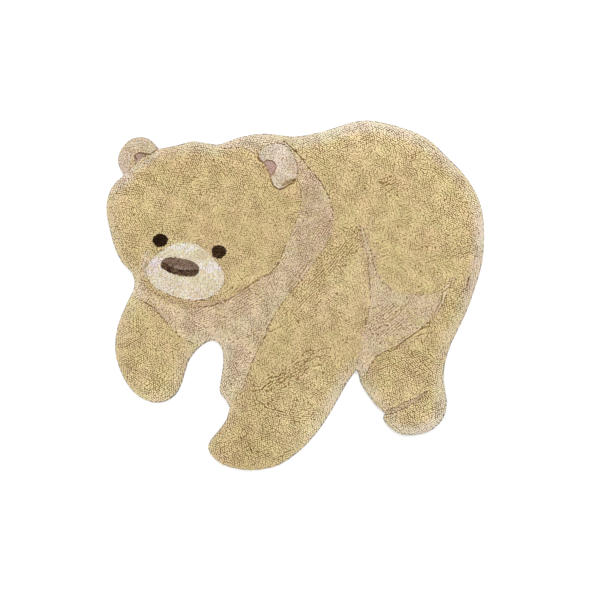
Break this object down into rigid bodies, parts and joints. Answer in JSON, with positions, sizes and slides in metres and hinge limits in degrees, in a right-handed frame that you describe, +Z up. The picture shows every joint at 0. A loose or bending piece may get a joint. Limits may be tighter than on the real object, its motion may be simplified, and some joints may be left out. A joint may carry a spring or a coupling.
{
  "type": "bear shaped kids rug",
  "caption": "Flat tufted cotton floor rug for a child's room, cut in the outline of a walking bear, with pile fields parted by carved lines on a hemmed cloth.",
  "frame": {"origin": "middle of the rug's outline, on the surface that the rug lies on", "axes": "+X to the right as the bear walks left, along the rug's longest side; +Y towards the bear's back; +Z up, out of the pile"},
  "size_m": [1.3, 1.2032, 0.0193],
  "materials": {
    "backing_cloth": "plain woven cotton, matt",
    "honey_pile": "tufted cotton pile, matt",
    "rose_pile": "tufted cotton pile, matt",
    "pale_pile": "tufted cotton pile, matt",
    "mauve_pile": "short tufted cotton pile, matt",
    "cream_pile": "tufted cotton pile, matt",
    "brown_pile": "tufted cotton pile, matt",
    "dark_brown_pile": "tufted cotton pile, matt",
    "near_black_pile": "tufted cotton pile, matt"
  },
  "bodies": {
    "root": {"base_cloth": "backing_cloth", "pile_head": "honey_pile", "pile_far_foreleg": "honey_pile", "pile_body": "honey_pile", "pile_neck": "rose_pile", "pile_flank": "rose_pile", "pile_foot_line": "rose_pile", "pile_rump_strip": "rose_pile", "ear_far": "pale_pile", "ear_near": "pale_pile", "inner_ear_far": "mauve_pile", "inner_ear_near": "mauve_pile", "muzzle": "cream_pile", "nose_top": "brown_pile", "nose_lower": "dark_brown_pile", "eye_left": "near_black_pile", "eye_right": "near_black_pile"}
  },
  "joints": []
}
